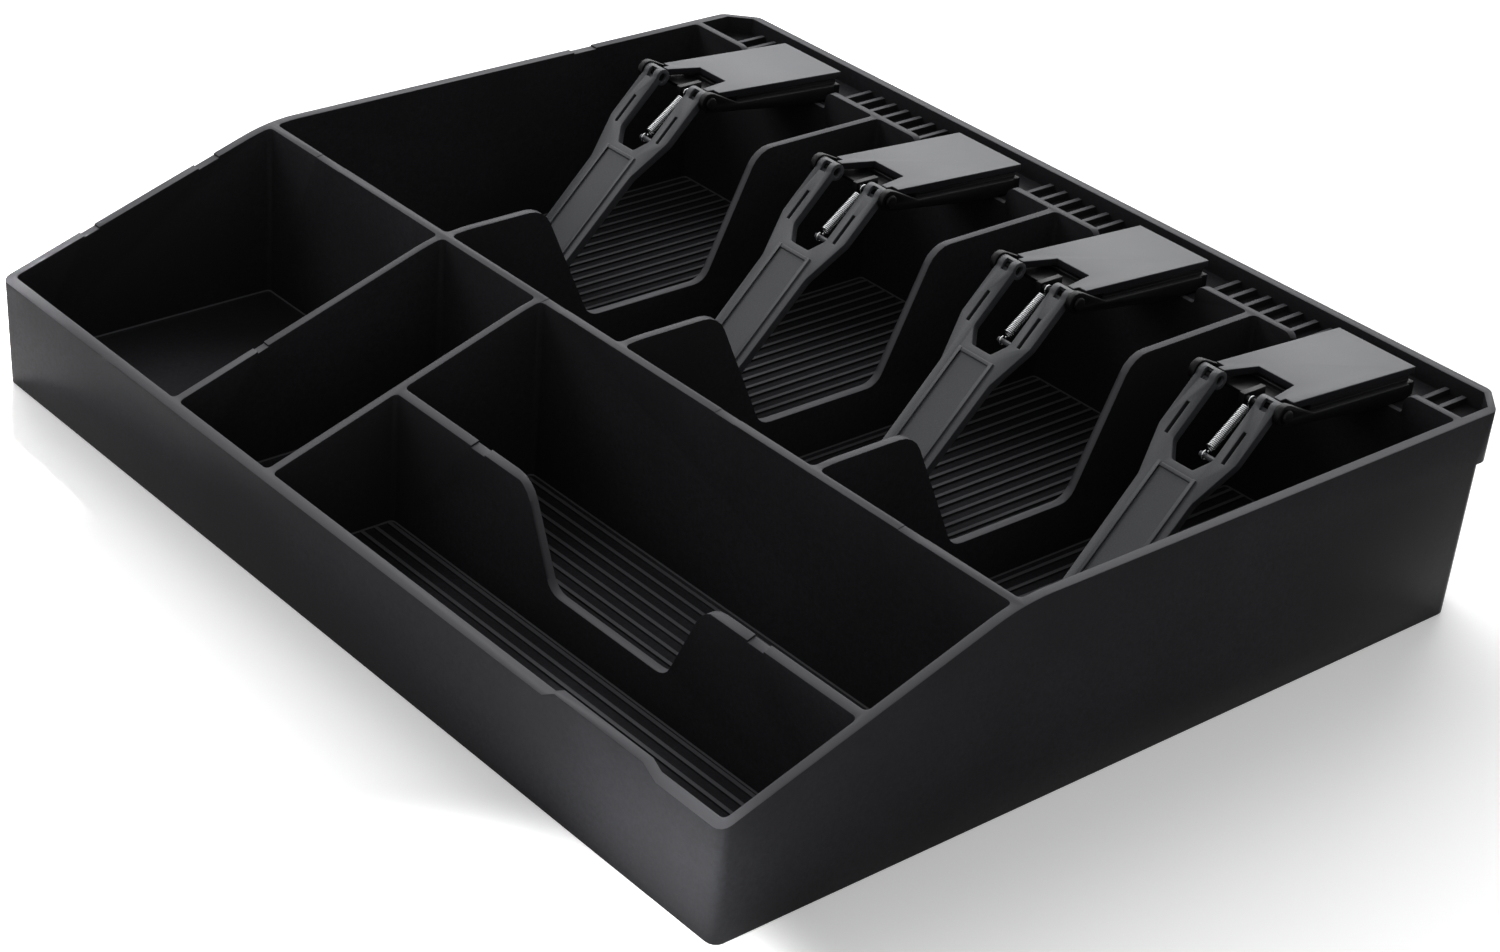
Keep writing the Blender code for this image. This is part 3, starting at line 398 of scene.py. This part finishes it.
@dataclass(frozen=True, kw_only=True)
class SparkErodedPlastic(MouldedPlastic):
    """Plastic moulded in a spark-eroded tool.

    It is even and fine-grained, and scatters the light softly.
    """

    base: str
    fleck: str
    # Painted shade for faces that look down or aside; empty keeps them the base colour.
    painted_side_shade: str = ""
    upward_limits: tuple[float, float] = (0.3, 0.6)
    grain_mm: float = 0.35
    cloud_mm: float = 14.0
    fleck_limits: tuple[float, float] = (0.35, 0.65)
    fleck_share: float = 0.8
    sheen_swing: float = 0.06
    ior: float = 1.53
    relief_mm: float = 0.02
    round_mm: float = 0.4

    def make(self) -> bpy.types.Material:
        """Build the material.

        Returns:
            The finished material.
        """
        made, tree = blank_material(self.name)
        place = add_node(tree, "ShaderNodeTexCoord", {})
        # Spark grain: its real pits are about 0.05 mm, drawn coarser so that they show as a fine
        # speckle.
        grain = add_node(
            tree, "ShaderNodeTexNoise",
            {"Scale": per_metre(self.grain_mm), "Detail": 3.0, "Roughness": 0.6},
            {"Vector": place.outputs["Object"]},
        )
        # Clouds: the speckle is stronger in some patches than in others.
        cloud = add_node(
            tree, "ShaderNodeTexNoise",
            {"Scale": per_metre(self.cloud_mm), "Detail": 2.0, "Roughness": 0.5},
            {"Vector": place.outputs["Object"]},
        )
        palest, fullest = self.fleck_limits
        speckle = add_node(
            tree, "ShaderNodeMapRange",
            {"From Min": palest, "From Max": fullest, "To Min": 0.0, "To Max": self.fleck_share},
            {"Value": grain.outputs["Fac"]},
        )
        mottled = add_node(
            tree, "ShaderNodeMath", {"operation": "MULTIPLY"},
            {0: speckle.outputs["Result"], 1: cloud.outputs["Fac"]},
        )
        colour = add_node(
            tree, "ShaderNodeMix",
            {"data_type": "RGBA", 6: linear(self.base), 7: linear(self.fleck)},
            {0: mottled.outputs["Value"]},
        )
        # Painted shade: a lid is grey on top and painted dark where its faces look down or aside.
        side_shaded = add_node(
            tree, "ShaderNodeMix", {"data_type": "RGBA", 6: linear(self.painted_side_shade or self.base)},
            {0: self.upward(tree, place), 7: colour.outputs[2]},
        )
        sheen = add_node(
            tree, "ShaderNodeMapRange",
            {
                "To Min": self.roughness - self.sheen_swing,
                "To Max": self.roughness + self.sheen_swing,
            },
            {"Value": grain.outputs["Fac"]},
        )
        self.add_surface(
            tree, side_shaded.outputs[2], sheen.outputs["Result"], grain.outputs["Fac"],
        )
        return made


@dataclass(frozen=True)
class ZincPlatedSteel:
    """Spring wire and screws with bright zinc plating.

    It has sharp highlights, with a slightly uneven sheen.
    """

    name: str = "steel_bright_zinc_plated"
    bright: str = "#c4c5c6"
    dull: str = "#8f9193"
    cloud_mm: float = 0.5
    roughness: float = 0.16
    roughness_dull: float = 0.3

    def make(self) -> bpy.types.Material:
        """Build the material.

        Returns:
            The finished material.
        """
        made, tree = blank_material(self.name)
        place = add_node(tree, "ShaderNodeTexCoord", {})
        # Plating clouds: brighter and duller patches about as wide as the wire.
        cloud = add_node(
            tree, "ShaderNodeTexNoise",
            {"Scale": per_metre(self.cloud_mm), "Detail": 3.0, "Roughness": 0.55},
            {"Vector": place.outputs["Object"]},
        )
        colour = add_node(
            tree, "ShaderNodeMix",
            {"data_type": "RGBA", 6: linear(self.bright), 7: linear(self.dull)},
            {0: cloud.outputs["Fac"]},
        )
        sheen = add_node(
            tree, "ShaderNodeMapRange",
            {"To Min": self.roughness, "To Max": self.roughness_dull},
            {"Value": cloud.outputs["Fac"]},
        )
        shader = add_node(
            tree, "ShaderNodeBsdfPrincipled", {"Metallic": 1.0},
            {"Base Color": colour.outputs[2], "Roughness": sheen.outputs["Result"]},
        )
        add_node(tree, "ShaderNodeOutputMaterial", {}, {"Surface": shader.outputs["BSDF"]})
        return made


@dataclass(frozen=True)
class Easing:
    """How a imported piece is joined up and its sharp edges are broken."""

    radius: float
    segments: int = 2
    sharp_deg: float = 38.0
    weld: float = 0.002 * MM
    flat_deg: float = 0.6

    def joined(self, source: bpy.types.Mesh, name: str) -> bpy.types.Mesh:
        """Copy a mesh with its split corners welded and its coplanar facets made one face.

        Args:
            source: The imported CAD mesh, which stays as it is.
            name: The copy's name.

        Returns:
            The copy.
        """
        shape = bmesh.new()
        shape.from_mesh(source)
        bmesh.ops.remove_doubles(shape, verts=shape.verts[:], dist=self.weld)
        bmesh.ops.dissolve_limit(
            shape, angle_limit=math.radians(self.flat_deg),
            verts=shape.verts[:], edges=shape.edges[:],
        )
        mesh = bpy.data.meshes.new(name)
        shape.to_mesh(mesh)
        shape.free()
        return mesh

    def round_edges(self, piece: bpy.types.Object) -> None:
        """Bevel the piece's sharp edges and shade it smooth between them.

        Args:
            piece: The object to ease.
        """
        bevel = piece.modifiers.new("broken_edges", "BEVEL")
        bevel.width = self.radius
        bevel.segments = self.segments
        bevel.limit_method = "ANGLE"
        bevel.angle_limit = math.radians(self.sharp_deg)
        bevel.harden_normals = True
        for face in piece.data.polygons:
            face.use_smooth = True


def eased_copy(
    node: str, name: str, easing: Easing, finish: bpy.types.Material,
) -> bpy.types.Object:
    """Make the shown piece of a CAD node: the same form with its edges eased.

    Args:
        node: The CAD node that the piece stands for.
        name: The new piece's name.
        easing: How its edges are broken.
        finish: Its material.

    Returns:
        The new piece, riding on the node's body.
    """
    source = frame["nodes"][node]
    piece = add_object(name, easing.joined(source.data, name))
    piece.data.materials.append(finish)
    easing.round_edges(piece)
    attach(piece, source["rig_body"])
    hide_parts(node)
    return piece


@dataclass
class MouldedTray:
    """The one-piece tray: outer walls, cups, bill slots and the clip ledge."""

    easing: Easing = Easing(radius=0.3 * MM)

    def build(self, finish: bpy.types.Material) -> bpy.types.Object:
        """Make the tray's shown piece.

        Args:
            finish: The tray's material.

        Returns:
            The tray.
        """
        return eased_copy("tray_body", "moulded_tray", self.easing, finish)


@dataclass
class TensionSpring:
    """A clip's close-wound spring, with a loop at each end round its peg."""

    anchor: Vector
    hook: Vector
    mean_radius: float = 1.3 * MM
    wire_radius: float = 0.24 * MM
    wire_rounding: int = 2
    pitch: float = 0.53 * MM
    body_share: float = 0.74
    points_per_turn: int = 14
    loop_shift: float = 0.2 * MM
    loop_from_deg: float = 55.0
    loop_sweep_deg: float = 305.0
    loop_points: int = 14
    lead_points: int = 5
    bend_length: float = 3.2 * MM

    def end_loop(self, from_hook: bool) -> list[Vector]:
        """Trace the loop at one end.

        Args:
            from_hook: True for the loop at the arm's peg.

        Returns:
            Points from the loop's free end to where the wire leaves it, along the spring's own X.
        """
        span = (self.hook - self.anchor).length
        centre = span - self.loop_shift if from_hook else self.loop_shift
        side = -1.0 if from_hook else 1.0
        points = []
        for step in range(self.loop_points):
            swept = self.loop_sweep_deg * step / (self.loop_points - 1)
            turn = math.radians(self.loop_from_deg + swept)
            along = centre + side * self.mean_radius * math.cos(turn)
            points.append(Vector((along, side * self.mean_radius * math.sin(turn), 0)))
        return points

    def lead(self, start: Vector, end: Vector) -> list[Vector]:
        """Join a loop and the coil by an easy bend.

        Args:
            start: Where the bend starts.
            end: Where it ends.

        Returns:
            The points between the two, without them.
        """
        points = []
        for step in range(1, self.lead_points):
            share = step / self.lead_points
            eased = share * share * (3 - 2 * share)
            points.append(Vector((
                start.x + (end.x - start.x) * share,
                start.y + (end.y - start.y) * eased,
                start.z + (end.z - start.z) * eased,
            )))
        return points

    def path(self) -> list[Vector]:
        """Trace the whole wire along the spring's own X axis.

        Returns:
            Points from one free end to the other.
        """
        span = (self.hook - self.anchor).length
        body = span * self.body_share
        steps = round(body / self.pitch) * self.points_per_turn
        start = (span - body) / 2
        wound = []
        for step in range(steps + 1):
            turn = 2 * math.pi * step / self.points_per_turn
            wound.append(Vector((
                start + body * step / steps,
                self.mean_radius * math.cos(turn),
                self.mean_radius * math.sin(turn),
            )))
        first, last = self.end_loop(False), self.end_loop(True)
        lead_in = self.lead(first[-1], wound[0])
        lead_out = self.lead(wound[-1], last[-1])
        return first + lead_in + wound + lead_out + last[::-1]

    def wire(self, name: str) -> bpy.types.Mesh:
        """Sweep the wire along its path, with the path's X axis still the spring's own.

        Args:
            name: The mesh's name.

        Returns:
            The wire.
        """
        curve = bpy.data.curves.new(name, "CURVE")
        curve.dimensions = "3D"
        curve.bevel_depth = self.wire_radius
        curve.bevel_resolution = self.wire_rounding
        curve.use_fill_caps = True
        points = self.path()
        spline = curve.splines.new("POLY")
        spline.points.add(len(points) - 1)
        for point, spot in zip(spline.points, points):
            point.co = (*spot, 1)
        guide = add_object(name + "_guide", curve)
        bpy.context.view_layer.update()
        graph = bpy.context.evaluated_depsgraph_get()
        mesh = bpy.data.meshes.new_from_object(guide.evaluated_get(graph))
        bpy.data.objects.remove(guide)
        mesh.name = name
        mesh.shade_smooth()
        return mesh

    def build(self, number: int, finish: bpy.types.Material) -> bpy.types.Object:
        """Make the spring's shown piece.

        Args:
            number: The clip's number, from 1 at the left.
            finish: The wire's material.

        Returns:
            The spring, strung from the bracket's lug to the arm's peg.
        """
        name = f"clip_{number}_tension_spring"
        mesh = self.wire(name)
        along = (self.hook - self.anchor).normalized()
        across = Vector((1, 0, 0))
        turn = Matrix((along, across.cross(along), across)).transposed().to_4x4()
        mesh.transform(Matrix.Translation(self.anchor) @ turn)
        mesh.materials.clear()
        mesh.materials.append(finish)
        piece = add_object(name, mesh)
        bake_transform(piece)
        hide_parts(f"clip_{number}_spring")
        return piece


@dataclass
class BillClip:
    """One bill clip: bracket, lid, forked arm, hinge pins, screw and spring."""

    number: int
    arm_easing: Easing = Easing(radius=0.2 * MM)
    cover_easing: Easing = Easing(radius=0.15 * MM)
    pin_easing: Easing = Easing(radius=0.1 * MM)
    # Y and Z of the spring's ends, on the bracket's lug and on the arm's peg.
    lug: tuple[float, float] = (73.6 * MM, 65.5 * MM)
    peg: tuple[float, float] = (57.22 * MM, 53.49 * MM)

    def build(self, finishes: dict[Slot, bpy.types.Material]) -> list[bpy.types.Object]:
        """Make the clip's shown pieces.

        Args:
            finishes: The material for each slot.

        Returns:
            The pieces.
        """
        clip = f"clip_{self.number}"
        plan = (
            ("arm", "forked_arm", self.arm_easing, Slot.CLIP),
            ("lid", "snap_lid", self.cover_easing, Slot.LID),
            ("base", "bracket", self.cover_easing, Slot.BRACKET),
            ("pin_left", "hinge_pin_left", self.pin_easing, Slot.BRACKET),
            ("pin_right", "hinge_pin_right", self.pin_easing, Slot.BRACKET),
            ("screw", "bracket_screw", self.pin_easing, Slot.STEEL),
        )
        pieces = [
            eased_copy(f"{clip}_{node}", f"{clip}_{shown}", easing, finishes[slot])
            for node, shown, easing, slot in plan
        ]
        low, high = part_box(f"{clip}_spring")
        middle = (low.x + high.x) / 2
        spring = TensionSpring(Vector((middle, *self.lug)), Vector((middle, *self.peg)))
        pieces.append(spring.build(self.number, finishes[Slot.STEEL]))
        return pieces


def hang_lamp(lamp: bpy.types.Light, place: Vector, target: Vector) -> None:
    """Hang a lamp and aim it.

    Args:
        lamp: The lamp.
        place: Where its middle is.
        target: The point that it faces.
    """
    item = add_object(lamp.name, lamp)
    item.location = place
    item.rotation_mode = "QUATERNION"
    item.rotation_quaternion = (target - place).to_track_quat("-Z", "Y")


@dataclass(frozen=True)
class Softbox:
    """A softbox that faces the tray, as bright as radiance, where 1 is white."""

    name: str
    place: tuple[float, float, float]
    width: float
    height: float
    radiance: float

    def hang(self) -> None:
        """Hang the softbox."""
        lamp = bpy.data.lights.new(self.name, "AREA")
        lamp.shape = "RECTANGLE"
        lamp.size, lamp.size_y = self.width, self.height
        lamp.energy = self.radiance * math.pi * self.width * self.height
        hang_lamp(lamp, Vector(self.place), Vector((0, 0, 0)))


@dataclass(frozen=True)
class GriddedSpot:
    """A round lamp behind a grid, that lights a patch of the paper beside the tray.

    The near wall mirrors the patch, which is how the light pools on the front wall come about.
    """

    name: str
    place: tuple[float, float, float]
    target: tuple[float, float, float]
    spread_deg: float
    watts: float
    diameter: float = 0.12

    def hang(self) -> None:
        """Hang the spot."""
        lamp = bpy.data.lights.new(self.name, "AREA")
        lamp.shape = "DISK"
        lamp.size = self.diameter
        lamp.spread = math.radians(self.spread_deg)
        lamp.energy = self.watts
        hang_lamp(lamp, Vector(self.place), Vector(self.target))


@dataclass(frozen=True)
class PaperSweep:
    """Matt white paper under the tray.

    It keeps a soft shadow near the tray, and farther out it is plain white to the viewer.
    """

    white: float = 0.95
    half_width: float = 6.0
    drop: float = 0.2 * MM
    middle: tuple[float, float, float] = (0.02, 0.04, 0.0)
    # The glow that the viewer sees rises from glow_near to white, between these distances from
    # the middle.
    near: float = 0.22
    far: float = 0.45
    glow_near: float = 0.27

    def make(self) -> bpy.types.Material:
        """Build the paper's material.

        Returns:
            The finished material.
        """
        made, tree = blank_material("paper_sweep_white")
        matt = add_node(
            tree, "ShaderNodeBsdfDiffuse", {"Color": (self.white, self.white, self.white, 1)},
        )
        place = add_node(tree, "ShaderNodeTexCoord", {})
        distance = add_node(
            tree, "ShaderNodeVectorMath", {"operation": "DISTANCE", 1: self.middle},
            {0: place.outputs["Object"]},
        )
        rise = add_node(
            tree, "ShaderNodeMapRange",
            {
                "interpolation_type": "SMOOTHSTEP", "From Min": self.near, "From Max": self.far,
                "To Min": self.glow_near, "To Max": 1.0,
            },
            {"Value": distance.outputs["Value"]},
        )
        share = add_node(
            tree, "ShaderNodeMath", {"operation": "MULTIPLY"},
            {0: seen_or_mirrored(tree), 1: rise.outputs["Result"]},
        )
        glow = add_node(
            tree, "ShaderNodeEmission", {"Color": (1, 1, 1, 1)},
            {"Strength": share.outputs["Value"]},
        )
        both = add_node(
            tree, "ShaderNodeAddShader", {},
            {0: matt.outputs["BSDF"], 1: glow.outputs["Emission"]},
        )
        add_node(tree, "ShaderNodeOutputMaterial", {}, {"Surface": both.outputs["Shader"]})
        return made

    def lay(self) -> None:
        """Lay the paper just under the tray."""
        shape = bmesh.new()
        bmesh.ops.create_grid(shape, x_segments=1, y_segments=1, size=self.half_width)
        mesh = bpy.data.meshes.new("paper_floor")
        shape.to_mesh(mesh)
        shape.free()
        mesh.materials.append(self.make())
        floor = add_object("paper_floor", mesh)
        floor.location.z = -self.drop


@dataclass(frozen=True)
class PhotoCamera:
    """A camera at the photograph's place and angle, with its lens and its framing."""

    place: tuple[float, float, float] = (0.6049, -0.5451, 0.4633)
    yaw_deg: float = 47.066
    pitch_deg: float = 28.220
    roll_deg: float = 5.182
    lens_mm: float = 77.72
    # The pixel of the photograph that the lens points at.
    principal_x: float = 774.0
    principal_y: float = 410.1

    def aim(self) -> Matrix:
        """Work out where the camera stands and how it is turned.

        Returns:
            The camera's matrix.
        """
        yaw, pitch, roll = (
            math.radians(angle) for angle in (self.yaw_deg, self.pitch_deg, self.roll_deg)
        )
        ahead = Vector((
            -math.sin(yaw) * math.cos(pitch), math.cos(yaw) * math.cos(pitch), -math.sin(pitch),
        ))
        level = Vector((math.cos(yaw), math.sin(yaw), 0))
        upright = level.cross(ahead)
        right = level * math.cos(roll) + upright * math.sin(roll)
        up = upright * math.cos(roll) - level * math.sin(roll)
        turn = Matrix((right, up, -ahead)).transposed().to_4x4()
        return Matrix.Translation(self.place) @ turn

    def stand(self) -> None:
        """Put the camera in the scene."""
        lens = bpy.data.cameras.new("photo_camera")
        lens.lens = self.lens_mm
        lens.shift_x = (PHOTO_WIDTH / 2 - self.principal_x) / PHOTO_WIDTH
        lens.shift_y = (self.principal_y - PHOTO_HEIGHT / 2) / PHOTO_WIDTH
        camera = add_object("photo_camera", lens)
        camera.matrix_world = self.aim()
        bpy.context.scene.camera = camera


@dataclass(frozen=True)
class Studio:
    """The paper, the lamps, the room's low light and the camera."""

    paper: PaperSweep = PaperSweep()
    softboxes: tuple[Softbox, ...] = (
        Softbox("key_softbox", place=(-0.87, 0.75, 0.95), width=1.7, height=1.3, radiance=3.9),
        Softbox("left_softbox", place=(-0.55, -0.15, 0.5), width=0.45, height=0.35, radiance=3.0),
    )
    spots: tuple[GriddedSpot, ...] = (
        GriddedSpot(
            "near_corner_spot", place=(0.3, -0.35, 0.75), target=(0.165, -0.22, 0),
            spread_deg=7.0, watts=0.5,
        ),
        GriddedSpot(
            "left_end_spot", place=(-0.75, 0.15, 0.6), target=(-0.2, -0.165, 0),
            spread_deg=5.0, watts=0.24,
        ),
    )
    room_light: float = 0.38
    camera: PhotoCamera = PhotoCamera()

    def build(self) -> None:
        """Set up the whole studio."""
        self.paper.lay()
        self.light_room()
        for lamp in self.softboxes + self.spots:
            lamp.hang()
        self.camera.stand()

    def light_room(self) -> None:
        """Light the room low and evenly, and show it white."""
        world = bpy.data.worlds.new("white_room")
        bpy.context.scene.world = world
        world.use_nodes = True
        tree = world.node_tree
        tree.nodes.clear()
        level = add_node(
            tree, "ShaderNodeMapRange", {"To Min": self.room_light, "To Max": 1.0},
            {"Value": seen_or_mirrored(tree)},
        )
        background = add_node(
            tree, "ShaderNodeBackground", {"Color": (1, 1, 1, 1)},
            {"Strength": level.outputs["Result"]},
        )
        add_node(
            tree, "ShaderNodeOutputWorld", {}, {"Surface": background.outputs["Background"]},
        )


def main() -> None:
    """Dress the tray and its clips, and set up the studio."""
    logging.basicConfig(level=logging.INFO)
    bpy.context.scene.view_settings.view_transform = "Standard"
    finishes = {
        Slot.TRAY: PolishedStyrene().make(),
        # ABS from a satin tool: nearly black, with hardly a highlight.
        Slot.BRACKET: SparkErodedPlastic(
            name="black_abs_satin_mould", base="#0e0e10", fleck="#161618",
            roughness=0.42, specular=0.1,
        ).make(),
        # Nylon from a coarser tool: dark grey, with a dull and even sheen.
        Slot.CLIP: SparkErodedPlastic(
            name="grey_nylon_spark_eroded_mould", base="#3e3f42", fleck="#525357",
            roughness=0.5, specular=0.25,
        ).make(),
        # ABS from a finer tool: flat grey tops; faces looking down or aside get painted shade.
        Slot.LID: SparkErodedPlastic(
            name="grey_abs_fine_mould", base="#5f6063", fleck="#6a6b6d", painted_side_shade="#232326",
            grain_mm=0.25, roughness=0.36, specular=0.06,
        ).make(),
        Slot.STEEL: ZincPlatedSteel().make(),
    }
    pieces = [MouldedTray().build(finishes[Slot.TRAY])]
    for number in range(1, CLIP_COUNT + 1):
        pieces += BillClip(number).build(finishes)
    for piece in pieces:
        LOG.info("%s in %s", piece.name, piece.data.materials[0].name)
    Studio().build()


if __name__ == "__main__":
    main()
